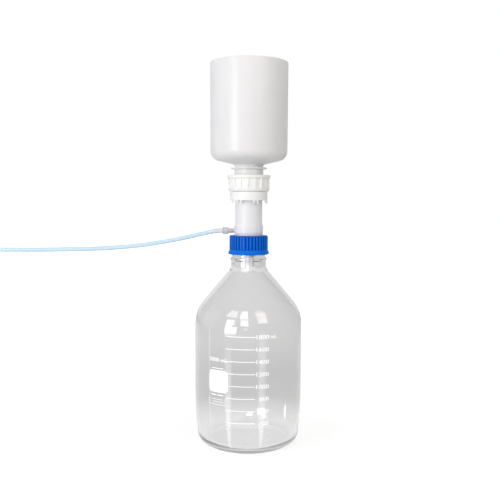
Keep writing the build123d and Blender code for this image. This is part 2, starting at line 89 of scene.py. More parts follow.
def soft_light(name, place, target, width, height, power, colour):
    """A rectangular softbox that looks at its target: metres and watts, unseen by the camera."""
    lamp = bpy.data.lights.new(name, "AREA")
    lamp.shape = "RECTANGLE"
    lamp.size = width
    lamp.size_y = height
    lamp.energy = power
    lamp.color = linear(colour)[:3]
    softbox = bpy.data.objects.new(name, lamp)
    bpy.context.scene.collection.objects.link(softbox)
    softbox.location = place
    softbox.rotation_euler = (Vector(target) - Vector(place)).to_track_quat("-Z", "Y").to_euler()
    softbox.visible_camera = False


soft_light("strip_softbox", (-0.8, -0.9, 0.38), (0, 0, 0.38), 0.26, 0.66, 5.15, "#FAFAFF")
soft_light("left_softbox", (-1.6, 0.1, 0.6), (0, 0, 0.35), 1.2, 1.5, 2.3, "#F4F6FF")
soft_light("front_softbox", (-0.25, -1.78, 0.9), (0, 0, 0.35), 0.6, 0.8, 2.6, "#FFFFFF")
soft_light("right_softbox", (0.7, -1.12, 1.05), (0, 0, 0.25), 0.6, 0.9, 4.2, "#FFF4EA")


def sweep_level(tree, mirrored, inner, clear, fading):
    """How bright the white sweep is for a ray: full for the camera, nothing for scattered light.
    A mirror image of it, one mirrored inside the glass and a view through glass get a level each.
    """
    path = add_node(tree, "ShaderNodeLightPath")
    inside = add_node(
        tree, "ShaderNodeMath", {0: path.outputs["Transmission Depth"], 1: 1.0}, operation="MINIMUM"
    )
    gloss = add_node(
        tree, "ShaderNodeMapRange", {"Value": inside.outputs[0], "To Min": mirrored, "To Max": inner}
    )
    glossy = {0: path.outputs["Is Glossy Ray"], 1: gloss.outputs[0]}
    level = add_node(tree, "ShaderNodeMath", glossy, operation="MULTIPLY").outputs[0]
    level = add_node(tree, "ShaderNodeMath", {0: level, 1: fading}, operation="MULTIPLY").outputs[0]
    slower = {0: fading, 1: 0.4, 2: 0.6}
    slower = add_node(tree, "ShaderNodeMath", slower, operation="MULTIPLY_ADD").outputs[0]
    viewed = add_node(tree, "ShaderNodeMath", {0: clear, 1: slower}, operation="MULTIPLY").outputs[0]
    passed = {"Factor": path.outputs["Is Transmission Ray"], "A": level, "B": viewed}
    level = add_node(tree, "ShaderNodeMix", passed).outputs[0]
    seen = {0: level, 1: path.outputs["Is Camera Ray"]}
    return add_node(tree, "ShaderNodeMath", seen, operation="MAXIMUM").outputs[0]


def soft_window(tree, value, middle, half, soft):
    """1 within half of the middle, falling to 0 across a soft edge."""
    off = add_node(tree, "ShaderNodeMath", {0: value, 1: middle}, operation="SUBTRACT")
    away = add_node(tree, "ShaderNodeMath", {0: off.outputs[0]}, operation="ABSOLUTE")
    inner, outer = half * (1 - soft), half * (1 + soft)
    edge = {"Value": away.outputs[0], "From Min": inner, "From Max": outer, "To Min": 1.0, "To Max": 0.0}
    return add_node(tree, "ShaderNodeMapRange", edge, interpolation_type="SMOOTHSTEP").outputs[0]


def clean_mirror(tree):
    """1 for a ray that has only been mirrored, by something as smooth as glass."""
    path = add_node(tree, "ShaderNodeLightPath")
    clean = {0: path.outputs["Is Singular Ray"], 1: path.outputs["Transmission Depth"]}
    return add_node(tree, "ShaderNodeMath", clean, operation="SUBTRACT", use_clamp=True).outputs[0]


def window_pane(below, bearing, half_width, height, half_height, strength):
    """Adds a painted reflection: a bright pane, in degrees, that only clean mirror images show and that
    lights nothing.
    """
    across = soft_window(sky, heading, math.radians(bearing), math.radians(half_width), 0.12)
    up = soft_window(sky, climb, math.radians(height), math.radians(half_height), 0.12)
    pane = add_node(sky, "ShaderNodeMath", {0: across, 1: up}, operation="MULTIPLY").outputs[0]
    shown = add_node(sky, "ShaderNodeMath", {0: pane, 1: mirror}, operation="MULTIPLY").outputs[0]
    added = {0: shown, 1: strength, 2: below}
    return add_node(sky, "ShaderNodeMath", added, operation="MULTIPLY_ADD").outputs[0]


world = bpy.data.worlds.new("studio_world")
bpy.context.scene.world = world
world.use_nodes = True
sky = world.node_tree
sky.nodes.clear()
direction = add_node(sky, "ShaderNodeTexCoord")
parts = add_node(sky, "ShaderNodeSeparateXYZ", {0: direction.outputs["Generated"]})
ahead = add_node(sky, "ShaderNodeMath", {0: parts.outputs["Y"], 1: -1.0}, operation="MULTIPLY")
heading = add_node(
    sky, "ShaderNodeMath", {0: parts.outputs["X"], 1: ahead.outputs[0]}, operation="ARCTAN2"
).outputs[0]
climb = add_node(sky, "ShaderNodeMath", {0: parts.outputs["Z"]}, operation="ARCSINE").outputs[0]
mirror = clean_mirror(sky)
shifted = add_node(sky, "ShaderNodeMath", {0: parts.outputs["X"], 1: 0.15}, operation="ADD")
aside = add_node(sky, "ShaderNodeMath", {0: shifted.outputs[0]}, operation="ABSOLUTE")
fading = add_node(
    sky,
    "ShaderNodeMapRange",
    {"Value": aside.outputs[0], "From Min": 0.25, "From Max": 1.1, "To Min": 1.0, "To Max": 0.35},
)
room = add_node(sky, "ShaderNodeBackground", {"Color": linear("#EDEDEC"), "Strength": 0.635})
level = sweep_level(sky, 0.77, 1.2, 0.92, fading.outputs[0])
# Painted reflections: bright panes of the sky that only clean mirror images show; they light nothing.
# Bearing and half width, height and half height in degrees, and strength.
for bearing, half_width, height, half_height, strength in (
    (-37.0, 13.5, 1.5, 5.0, 10.0),
    (-35.0, 6.0, 19.0, 8.0, 6.0),
    (-41.0, 14.0, 43.0, 11.0, 5.5),
    (-10.5, 9.5, 43.5, 12.0, 9.0),
    (-8.5, 8.0, 18.5, 8.5, 9.0),
    (-5.5, 3.5, 0.5, 2.5, 4.0),
    (34.0, 11.0, 47.0, 13.0, 2.2),
    (34.0, 9.0, 24.0, 7.0, 3.0),
):
    level = window_pane(level, bearing, half_width, height, half_height, strength)
sweep = add_node(sky, "ShaderNodeBackground", {"Color": (1.0, 1.0, 1.0, 1.0), "Strength": level})
seen = add_node(sky, "ShaderNodeMath", {0: level, 1: 0.01}, operation="GREATER_THAN")
both = add_node(sky, "ShaderNodeMixShader", {0: seen.outputs[0], 1: room.outputs[0], 2: sweep.outputs[0]})
add_node(sky, "ShaderNodeOutputWorld", {"Surface": both.outputs[0]})

bpy.ops.object.select_all(action="DESELECT")
bpy.ops.mesh.primitive_plane_add(size=12.0, location=(0, 0, -0.1 * mm))
floor = bpy.context.object
floor.name = "floor"
floor_paint, tree, output = new_material("white_sweep")
place = add_node(tree, "ShaderNodeTexCoord")
parts = add_node(tree, "ShaderNodeSeparateXYZ", {0: place.outputs["Object"]})
shifted = add_node(tree, "ShaderNodeMath", {0: parts.outputs["X"], 1: 0.2}, operation="ADD")
aside = add_node(tree, "ShaderNodeMath", {0: shifted.outputs[0]}, operation="ABSOLUTE")
fading = add_node(
    tree,
    "ShaderNodeMapRange",
    {"Value": aside.outputs[0], "From Min": 0.25, "From Max": 0.9, "To Min": 1.0, "To Max": 0.4},
)
reach = add_node(tree, "ShaderNodeVectorMath", {0: place.outputs["Object"]}, operation="LENGTH")
distance = reach.outputs["Value"]
clear = add_node(tree, "ShaderNodeValToRGB", {0: distance})
for metres, brightness in ((0.08, 0.78), (0.16, 0.58), (0.2, 0.47), (0.36, 0.46), (0.6, 0.58)):
    clear.color_ramp.elements.new(metres).color = (brightness, brightness, brightness, 1.0)
clear.color_ramp.elements[0].color = (0.8, 0.8, 0.8, 1.0)
clear.color_ramp.elements[-1].color = (0.64, 0.64, 0.64, 1.0)
level = sweep_level(tree, 0.65, 1.1, clear.outputs[0], fading.outputs[0])
path = add_node(tree, "ShaderNodeLightPath")
camera_ray = path.outputs["Is Camera Ray"]
near = add_node(
    tree,
    "ShaderNodeMapRange",
    {"Value": distance, "From Min": 0.12, "From Max": 0.8, "To Min": 0.44, "To Max": 0.0},
)
dimmed = add_node(tree, "ShaderNodeMath", {0: near.outputs[0], 1: camera_ray}, operation="MULTIPLY")
level = add_node(tree, "ShaderNodeMath", {0: level, 1: dimmed.outputs[0]}, operation="SUBTRACT").outputs[0]
mirror = clean_mirror(tree)


def table_glow(below, start, bearing, half_width, middle, half_length, soft, strength):
    """Adds a painted reflection: a bright patch of the table that only clean mirror images show and that
    lights nothing. It fans out from its start, in metres, about its bearing, in degrees from straight ahead,
    round its middle distance.
    """
    ends = {0: place.outputs["Object"], 1: start}
    out = add_node(tree, "ShaderNodeVectorMath", ends, operation="SUBTRACT")
    split = add_node(tree, "ShaderNodeSeparateXYZ", {0: out.outputs[0]})
    ahead = add_node(tree, "ShaderNodeMath", {0: split.outputs["Y"], 1: -1.0}, operation="MULTIPLY")
    sides = {0: split.outputs["X"], 1: ahead.outputs[0]}
    turn = add_node(tree, "ShaderNodeMath", sides, operation="ARCTAN2")
    length = add_node(tree, "ShaderNodeVectorMath", {0: out.outputs[0]}, operation="LENGTH")
    across = soft_window(tree, turn.outputs[0], math.radians(bearing), math.radians(half_width), soft)
    along = soft_window(tree, length.outputs["Value"], middle, half_length, soft)
    patch = add_node(tree, "ShaderNodeMath", {0: across, 1: along}, operation="MULTIPLY").outputs[0]
    shown = add_node(tree, "ShaderNodeMath", {0: patch, 1: mirror}, operation="MULTIPLY").outputs[0]
    added = {0: shown, 1: strength, 2: below}
    return add_node(tree, "ShaderNodeMath", added, operation="MULTIPLY_ADD").outputs[0]


# Painted reflections on the table: bright fans that only clean mirror images show; they light nothing.
# Start, bearing and half width, middle distance and half length, softness, and strength.
for start, bearing, half_width, middle, half_length, soft, strength in (
    ((-0.0241, -0.0636, 0), -43.0, 7.0, 0.1, 0.46, 0.6, 4.4),
    ((0.0163, -0.066, 0), 29.5, 8.0, 0.2, 0.62, 0.6, 3.2),
    ((-0.0482, -0.048, 0), -90.0, 2.0, 0.5, 0.6, 0.6, 1.8),
    ((0.0431, -0.0526, 0), 89.0, 3.0, 0.145, 0.035, 0.4, 7.0),
    ((0.0163, -0.066, 0), 28.4, 10.0, 0.155, 0.018, 0.25, 14.0),
    ((0.0015, -0.068, 0), 3.0, 8.0, 0.14, 0.008, 0.25, 11.0),
    ((-0.039, -0.055, 0), -37.0, 13.5, 3.0, 2.05, 0.03, 11.0),
    ((-0.01, -0.067, 0), -5.5, 3.5, 3.0, 1.7, 0.03, 4.0),
):
    level = table_glow(level, start, bearing, half_width, middle, half_length, soft, strength)
glow = add_node(tree, "ShaderNodeEmission", {"Color": (1, 1, 1, 1), "Strength": level})
paler = {0: camera_ray, 1: 0.26, 2: 0.3}
pale = add_node(tree, "ShaderNodeMath", paler, operation="MULTIPLY_ADD").outputs[0]
palest = {0: path.outputs["Is Diffuse Ray"], 1: 0.45, 2: pale}
pale = add_node(tree, "ShaderNodeMath", palest, operation="MULTIPLY_ADD").outputs[0]
grey = add_node(tree, "ShaderNodeCombineColor", {0: pale, 1: pale, 2: pale})
paper = add_node(tree, "ShaderNodeBsdfDiffuse", {"Color": grey.outputs[0], "Roughness": 0.5})
total = add_node(tree, "ShaderNodeAddShader", {0: glow.outputs[0], 1: paper.outputs[0]})
tree.links.new(total.outputs[0], output.inputs["Surface"])
floor.data.materials.append(floor_paint)

# ---------------------------------------------------------------- Vacuum line
# Extruded flexible hose, 5.6 mm across, tinted light blue and a little see-through. It is pushed
# on the barb of its fitting, where it is stretched and paler, and is held up beyond its far end.

hose_radius = 2.8 * mm
hose_route = [
    (-33.2, 0.0, 270.6),
    (-44.0, 0.0, 270.3),
    (-64.5, -0.3, 265.2),
    (-97.0, -0.4, 258.1),
    (-134.0, 0.4, 251.7),
    (-179.0, 1.4, 247.5),
    (-229.0, 1.0, 245.9),
    (-281.0, -0.4, 245.2),
    (-326.0, -0.9, 245.4),
]
hose_curve = bpy.data.curves.new("hose", "CURVE")
hose_curve.dimensions = "3D"
hose_curve.bevel_depth = hose_radius
hose_curve.bevel_resolution = 8
hose_curve.resolution_u = 24
hose_curve.use_fill_caps = True
hose_line = hose_curve.splines.new("NURBS")
hose_line.points.add(len(hose_route) - 1)
for point, spot in zip(hose_line.points, hose_route):
    point.co = (*[length * mm for length in spot], 1.0)
hose_line.order_u = 3
hose_line.use_endpoint_u = True
hose = bpy.data.objects.new("hose", hose_curve)
bpy.context.scene.collection.objects.link(hose)

# Plasticised PVC, extruded: clear blue tint, soft gloss and fine lines drawn along its length.
tinted_hose, tree, output = new_material("tinted_extruded_pvc")
place = add_node(tree, "ShaderNodeTexCoord")
along = add_node(tree, "ShaderNodeSeparateXYZ", {0: place.outputs["Object"]})
drawn = add_node(
    tree, "ShaderNodeMapping", {"Vector": place.outputs["Object"], "Scale": (25.0, 1 / 0.0009, 1 / 0.0009)}
)
streaks = add_node(tree, "ShaderNodeTexNoise", {"Vector": drawn.outputs[0], "Scale": 1.0, "Detail": 2.0})
stretched = add_node(
    tree,
    "ShaderNodeMapRange",
    {"Value": along.outputs["X"], "From Min": -0.058, "From Max": -0.042, "To Min": 0.0, "To Max": 1.0},
)
tint = add_node(
    tree,
    "ShaderNodeMix",
    {0: streaks.outputs["Fac"], 6: linear("#CBE6FA"), 7: linear("#D2EAFB")},
    data_type="RGBA",
)
skin_tint = add_node(
    tree,
    "ShaderNodeMix",
    {0: stretched.outputs[0], 6: tint.outputs[2], 7: linear("#DCE6EE")},
    data_type="RGBA",
)
sheen = add_node(tree, "ShaderNodeMapRange", {"Value": streaks.outputs["Fac"], "To Min": 0.2, "To Max": 0.3})
lines = add_node(
    tree, "ShaderNodeBump", {"Height": streaks.outputs["Fac"], "Strength": 0.1, "Distance": 0.03 * mm}
)
skin = add_node(
    tree,
    "ShaderNodeBsdfPrincipled",
    {
        "Base Color": skin_tint.outputs[2],
        "Roughness": sheen.outputs[0],
        "IOR": 1.53,
        "Subsurface Weight": 0.4,
        "Subsurface Radius": (0.8, 0.95, 1.0),
        "Subsurface Scale": 2 * mm,
        "Normal": lines.outputs[0],
    },
)
tree.links.new(skin.outputs[0], output.inputs["Surface"])
hose.data.materials.append(tinted_hose)
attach(hose, "holder")
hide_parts("vacuum_tubing")

# ---------------------------------------------------------------- Glass bottle
# Borosilicate glass, blown in a mould with a pressed screw neck and a pushed-up base, fire polished.
# Clear, nearly colourless, with the wall's whole depth showing darker at the edges.


def pick(chosen):
    """Selects the vertices of the piece in edit mode that pass the test, and nothing else."""
    bpy.ops.mesh.select_all(action="DESELECT")
    mesh = bmesh.from_edit_mesh(bpy.context.object.data)
    for vertex in mesh.verts:
        vertex.select = chosen(vertex.co)
    mesh.select_flush(True)
    bmesh.update_edit_mesh(bpy.context.object.data)


def turned(name, corners, steps=128, fineness=7.5, closed=True):
    """A piece turned about +Z from an outline of (radius, height, rounding) corners in millimetres.
    The outline is extruded from corner to corner, its roundings are bevelled, and it is spun round.
    """
    bpy.ops.object.select_all(action="DESELECT")
    bpy.ops.mesh.primitive_plane_add(size=mm)
    piece = bpy.context.object
    piece.name = name
    piece.data.name = name
    bpy.ops.object.mode_set(mode="EDIT")
    bpy.ops.mesh.merge(type="CENTER")
    places = [Vector((radius * mm, 0.0, height * mm)) for radius, height, _ in corners]
    bpy.ops.transform.translate(value=places[0])
    for before, after in zip(places, places[1:]):
        bpy.ops.mesh.extrude_region_move(TRANSFORM_OT_translate={"value": after - before})
    if closed:
        pick(lambda co: (co - places[0]).length < 1e-6 or (co - places[-1]).length < 1e-6)
        bpy.ops.mesh.edge_face_add()
    for index, (_, _, rounding) in enumerate(corners):
        if rounding:
            corner = places[index]
            incoming = corner - places[index - 1]
            outgoing = places[(index + 1) % len(places)] - corner
            turn = incoming.angle(outgoing)
            pick(lambda co: (co - corner).length < 1e-6)
            bpy.ops.mesh.bevel(
                offset=rounding * mm * math.tan(turn / 2),
                segments=max(2, round(math.degrees(turn) / fineness)),
                affect="VERTICES",
                clamp_overlap=False,
            )
    bpy.ops.mesh.select_all(action="SELECT")
    bpy.ops.mesh.spin(steps=steps, angle=2 * math.pi, center=(0, 0, 0), axis=(0, 0, 1))
    bpy.ops.mesh.select_all(action="SELECT")
    bpy.ops.mesh.remove_doubles(threshold=1e-6)
    bpy.ops.mesh.normals_make_consistent(inside=False)
    bpy.ops.object.mode_set(mode="OBJECT")
    bpy.ops.object.shade_smooth_by_angle(angle=math.radians(32))
    return piece


def helical_ridge(name, root, tip, pitch, start, length, foot_width, tip_width):
    """A screw thread's ridge in millimetres: a trapezoid section drawn round and up the axis."""
    sink = 0.4 if root > tip else -0.4
    bpy.ops.object.select_all(action="DESELECT")
    bpy.ops.mesh.primitive_plane_add(size=mm)
    ridge = bpy.context.object
    ridge.name = name
    lower = [(root + sink, -foot_width / 2), (tip, -tip_width / 2)]
    section = lower + [(radius, -height) for radius, height in reversed(lower)]
    for vertex, (radius, height) in zip((0, 1, 3, 2), section):
        ridge.data.vertices[vertex].co = (radius * mm, 0.0, (start + height) * mm)
    screw = ridge.modifiers.new("winding", "SCREW")
    screw.angle = 2 * math.pi * length / pitch
    screw.screw_offset = length * mm
    screw.steps = round(72 * length / pitch)
    screw.render_steps = screw.steps
    bpy.ops.object.modifier_apply(modifier="winding")
    bpy.ops.object.mode_set(mode="EDIT")
    pick(lambda co: abs(co.y) < 1e-7 and co.x > 0 and abs(co.z - start * mm) < foot_width * mm)
    bpy.ops.mesh.edge_face_add()
    bpy.ops.mesh.select_all(action="DESELECT")
    bpy.ops.mesh.select_non_manifold(
        extend=False, use_wire=False, use_multi_face=False, use_non_contiguous=False
    )
    bpy.ops.mesh.edge_face_add()
    bpy.ops.mesh.select_all(action="SELECT")
    bpy.ops.mesh.normals_make_consistent(inside=False)
    bpy.ops.object.mode_set(mode="OBJECT")
    return ridge


def cut_or_unite(piece, tool, operation):
    """Applies a boolean with a tool mesh, which is then thrown away."""
    boolean = piece.modifiers.new("tool", "BOOLEAN")
    boolean.operation = operation
    boolean.solver = "EXACT"
    boolean.object = tool
    bpy.ops.object.select_all(action="DESELECT")
    bpy.context.view_layer.objects.active = piece
    bpy.ops.object.modifier_apply(modifier="tool")
    bpy.data.objects.remove(tool)


def joined(name, pieces):
    """Joins pieces that are one moulding into the first."""
    bpy.ops.object.select_all(action="DESELECT")
    for piece in pieces:
        piece.select_set(True)
    bpy.context.view_layer.objects.active = pieces[0]
    bpy.ops.object.join()
    pieces[0].name = name
    return pieces[0]


def finish_piece(piece, material, body, node):
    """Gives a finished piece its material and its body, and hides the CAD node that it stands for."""
    piece.data.materials.clear()
    piece.data.materials.append(material)
    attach(piece, body)
    if node:
        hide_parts(node)


wall = 2.7
body_radius = 68.0
shoulder_foot = 169.0
shoulder_rounding = 40.0
neck_radius = 22.2
neck_foot = 223.7
neck_bore = 18.6
screw_radius = 20.9
cone_slope = (neck_foot - shoulder_foot) / (body_radius - neck_radius)
cone_drop = 1.07 * wall * math.hypot(1.0, cone_slope)
cone_bore_top = shoulder_foot + cone_slope * (body_radius - neck_bore) - cone_drop
cone_bore_foot = shoulder_foot + cone_slope * wall - cone_drop
bottle_outline = [
    (0.0, 3.0, 0),
    (25.0, 3.0, 410),
    (50.0, 0.0, 0),
    (63.3, 0.0, 15),
    (body_radius, 38.8, 400),
    (body_radius, shoulder_foot, shoulder_rounding),
    (neck_radius, neck_foot, 14),
    (neck_radius, 233.0, 0.5),
    (23.3, 233.9, 0.8),
    (23.3, 236.6, 0.8),
    (screw_radius, 237.5, 0.4),
    (screw_radius, 260.0, 1.3),
    (15.8, 260.0, 1.3),
    (15.8, 251.0, 9),
    (neck_bore, 243.0, 9),
    (neck_bore, cone_bore_top, 12),
    (body_radius - wall, cone_bore_foot, shoulder_rounding - wall),
    (body_radius - wall, 38.8, 300),
    (61.0, 7.0, 9),
    (45.0, 7.0, 0),
    (22.5, 8.5, 650),
    (0.0, 8.5, 0),
]
bottle = turned("bottle", bottle_outline, steps=192, fineness=4.0, closed=False)
neck_thread = helical_ridge("neck_thread", screw_radius, 22.3, 4.0, 246.5, 7.6, 2.2, 1.0)
cut_or_unite(bottle, neck_thread, "UNION")
bpy.context.view_layer.objects.active = bottle
bottle.select_set(True)
bpy.ops.object.shade_smooth_by_angle(angle=math.radians(32))

# Borosilicate glass, blown: smooth and bright, with slow waves some 28 mm long that bend its
# reflections, and a grey depth that shows at the edges. Light that is caught in it is let out,
# and a shadow through it is faint.
clear_glass, tree, output = new_material("borosilicate_glass")
place = add_node(tree, "ShaderNodeTexCoord")
waves = add_node(
    tree, "ShaderNodeTexNoise", {"Vector": place.outputs["Object"], "Scale": 1 / 0.028, "Detail": 1.0}
)
blown = add_node(
    tree, "ShaderNodeBump", {"Height": waves.outputs["Fac"], "Strength": 0.35, "Distance": 0.35 * mm}
)
glass = add_node(
    tree,
    "ShaderNodeBsdfPrincipled",
    {
        "Base Color": linear("#F6F6F6"),
        "Roughness": 0.0,
        "IOR": 1.473,
        "Transmission Weight": 1.0,
        "Normal": blown.outputs[0],
    },
)
path = add_node(tree, "ShaderNodeLightPath")
tint = add_node(
    tree,
    "ShaderNodeMix",
    {0: path.outputs["Is Shadow Ray"], 6: linear("#F3F3F3"), 7: linear("#EEEEEE")},
    data_type="RGBA",
)
through = add_node(tree, "ShaderNodeBsdfTransparent", {"Color": tint.outputs[2]})
caught = add_node(tree, "ShaderNodeMath", {0: path.outputs["Ray Depth"], 1: 4.5}, operation="GREATER_THAN")
let_out = add_node(
    tree, "ShaderNodeMath", {0: caught.outputs[0], 1: path.outputs["Is Shadow Ray"]}, operation="MAXIMUM"
)
lit = add_node(
    tree, "ShaderNodeMixShader", {0: let_out.outputs[0], 1: glass.outputs[0], 2: through.outputs[0]}
)
depth = add_node(tree, "ShaderNodeVolumeAbsorption", {"Color": linear("#909090"), "Density": 9.0})
tree.links.new(lit.outputs[0], output.inputs["Surface"])
tree.links.new(depth.outputs[0], output.inputs["Volume"])
finish_piece(bottle, clear_glass, "bottle", "glass_bottle")

# ---------------------------------------------------------------- Printed scale
# White ceramic enamel, screen printed on the glass and fired: eight graduations with their
# numerals, and at their left the capacity, a patch to write on and two rows of small print.


def flat_bar(left, right, bottom, top, rounding=0.0):
    """A flat upright bar in millimetres along the print, with rounded corners if it is a patch."""
    bpy.ops.object.select_all(action="DESELECT")
    bpy.ops.mesh.primitive_plane_add(size=mm, rotation=(math.pi / 2, 0, 0))
    bar = bpy.context.object
    bar.scale = (right - left, top - bottom, 1.0)
    bar.location = ((left + right) / 2 * mm, 0, (bottom + top) / 2 * mm)
    bpy.ops.object.transform_apply(location=True, rotation=True, scale=True)
    if rounding:
        bpy.ops.object.mode_set(mode="EDIT")
        bpy.ops.mesh.select_all(action="SELECT")
        bpy.ops.mesh.bevel(offset=rounding * mm, segments=6, affect="VERTICES")
        bpy.ops.object.mode_set(mode="OBJECT")
    return bar


def flat_text(words, left, bottom, height, width):
    """Flat upright lettering in millimetres along the print: left end, baseline, height and width."""
    bpy.ops.object.select_all(action="DESELECT")
    bpy.ops.object.text_add(rotation=(math.pi / 2, 0, 0))
    text = bpy.context.object
    text.data.body = words
    text.data.size = 10 * mm
    text.data.offset = 0.1 * mm
    text.data.resolution_u = 3
    bpy.ops.object.convert(target="MESH")
    text = bpy.context.object
    bpy.ops.object.transform_apply(location=True, rotation=True, scale=True)
    corners = [vertex.co.copy() for vertex in text.data.vertices]
    start = min(co.x for co in corners)
    text.location.x = -start
    bpy.ops.object.transform_apply(location=True, rotation=True, scale=True)
    span = max(co.x for co in corners) - start
    text.scale = (width * mm / span, 1.0, height * mm / max(co.z for co in corners))
    text.location = (left * mm, 0, bottom * mm)
    bpy.ops.object.transform_apply(location=True, rotation=True, scale=True)
    return text


graduations = 8
graduation_step = 15.0
top_graduation = 147.4
numeral_height = 4.9
numeral_end = 25.6
print_pieces = []
for number in range(graduations):
    millilitres = 1800 - 200 * number
    level = top_graduation - graduation_step * number
    print_pieces.append(flat_bar(-27.4, 8.6, level - 0.42, level + 0.42))
    width = 15.6 if millilitres >= 1000 else 11.6
    foot = level - 2.4
    print_pieces.append(flat_text(str(millilitres), numeral_end - width, foot, numeral_height, width))
print_pieces.append(flat_text("mL", 27.6, top_graduation - 2.4, numeral_height, 8.2))
print_pieces.append(flat_text("2000 mL", -51.2, 115.8, 4.6, 25.5))
print_pieces.append(flat_bar(-51.7, -24.8, 78.0, 105.0, rounding=5.2))
print_pieces.append(flat_bar(-47.4, -30.5, 107.0, 107.8))
print_pieces.append(flat_bar(-48.6, -41.2, 74.2, 75.3))
print_pieces.append(flat_bar(-38.8, -30.6, 74.2, 75.3))
for left, right, level in ((-47.0, -31.5, 69.4), (-46.4, -30.8, 66.4), (-51.6, -28.0, 62.8)):
    print_pieces.append(flat_bar(left, right, level - 0.25, level + 0.25))
for left in (-51.6, -28.7):
    print_pieces.append(flat_bar(left, left + 0.4, 62.8, 70.6))
scale_print = joined("printed_scale", print_pieces)
print_radius = body_radius + 0.05
bpy.ops.object.mode_set(mode="EDIT")
for step in range(-29, 19):
    bpy.ops.mesh.select_all(action="SELECT")
    bpy.ops.mesh.bisect(plane_co=(step * 2.0 * mm, 0, 0), plane_no=(1, 0, 0))
bpy.ops.object.mode_set(mode="OBJECT")
edges = [vertex.co.x for vertex in scale_print.data.vertices]
curling = scale_print.modifiers.new("curling", "SIMPLE_DEFORM")
curling.deform_method = "BEND"
curling.deform_axis = "Z"
curling.angle = (max(edges) - min(edges)) / (print_radius * mm)
bpy.ops.object.modifier_apply(modifier="curling")
scale_print.location.y = -print_radius * mm
bpy.ops.object.transform_apply(location=True, rotation=True, scale=True)
firing = scale_print.modifiers.new("firing", "SHRINKWRAP")
firing.target = bottle
firing.wrap_method = "NEAREST_SURFACEPOINT"
firing.wrap_mode = "OUTSIDE_SURFACE"
firing.offset = 0.05 * mm
bpy.ops.object.modifier_apply(modifier="firing")

# Ceramic enamel, screen printed and fired: dense white with a dull gloss, its film a little uneven from the
# mesh of the screen, which is drawn coarser than the real 0.1 mm to show. It has painted light: a faint glow
# of its own stands in for the light that comes through the film from behind.
fired_enamel, tree, output = new_material("fired_white_enamel")
place = add_node(tree, "ShaderNodeTexCoord")
film = add_node(
    tree, "ShaderNodeTexNoise", {"Vector": place.outputs["Object"], "Scale": 1 / 0.0006, "Detail": 2.0}
)
white = add_node(
    tree,
    "ShaderNodeMix",
    {0: film.outputs["Fac"], 6: linear("#F6F7F8"), 7: linear("#FFFFFF")},
    data_type="RGBA",
)
dullness = add_node(tree, "ShaderNodeMapRange", {"Value": film.outputs["Fac"], "To Min": 0.4, "To Max": 0.6})
pitted = add_node(
    tree, "ShaderNodeBump", {"Height": film.outputs["Fac"], "Strength": 0.3, "Distance": 0.02 * mm}
)
enamel = add_node(
    tree,
    "ShaderNodeBsdfPrincipled",
    {
        "Base Color": white.outputs[2],
        "Roughness": dullness.outputs[0],
        "Normal": pitted.outputs[0],
        # Painted light: a faint glow of its own, though the enamel is no lamp.
        "Emission Color": (1.0, 1.0, 1.0, 1.0),
        "Emission Strength": 0.28,
    },
)
tree.links.new(enamel.outputs[0], output.inputs["Surface"])
finish_piece(scale_print, fired_enamel, "bottle", None)

# ---------------------------------------------------------------- Screw cap
# Blue polypropylene, moulded in one piece with an open top, a smooth rolled foot and thirty-six
# grip ribs. Slightly glossy, with the soft bloom of moulded polypropylene.


def copies_around(piece, count, start=0.0):
    """Copies of a piece spaced evenly round the +Z axis, each with its own mesh, joined into one."""
    ring = [piece]
    for index in range(1, count):
        copy = piece.copy()
        copy.data = piece.data.copy()
        copy.data.transform(Matrix.Rotation(2 * math.pi * index / count, 4, "Z"))
        bpy.context.scene.collection.objects.link(copy)
        ring.append(copy)
    whole = joined(piece.name, ring)
    whole.data.transform(Matrix.Rotation(math.radians(start), 4, "Z"))
    return whole


def grip_rib(name, radius, depth, width, bottom, top, rounding):
    """A moulded rib that stands on a wall: a bar with rounded edges, along +X, in millimetres."""
    bpy.ops.object.select_all(action="DESELECT")
    bpy.ops.mesh.primitive_cube_add(size=mm, location=(radius * mm, 0, (bottom + top) / 2 * mm))
    rib = bpy.context.object
    rib.name = name
    rib.scale = (depth, width, top - bottom)
    bpy.ops.object.transform_apply(location=True, rotation=True, scale=True)
    edges = rib.modifiers.new("edges", "BEVEL")
    edges.width = rounding * mm
    edges.segments = 3
    bpy.ops.object.modifier_apply(modifier="edges")
    bpy.ops.object.shade_smooth_by_angle(angle=math.radians(40))
    return rib


cap_shell = turned(
    "cap",
    [
        (22.65, 241.0, 0.3),
        (25.9, 241.0, 1.0),
        (25.9, 243.8, 1.2),
        (24.3, 246.9, 1.0),
        (23.35, 247.6, 0.5),
        (23.35, 264.0, 0.3),
        (24.0, 264.0, 0.2),
        (24.0, 265.0, 0.9),
        (18.7, 265.0, 0.4),
        (18.7, 263.0, 0.2),
        (22.65, 263.0, 0),
    ],
)
cap_ribs = copies_around(grip_rib("cap_rib", 23.65, 1.7, 2.5, 245.9, 264.2, 0.75), 36, start=6.2)
cap_thread = helical_ridge("cap_thread", 22.65, 21.25, 4.0, 244.6, 7.6, 2.0, 0.8)
cap = joined("cap", [cap_shell, cap_ribs, cap_thread])

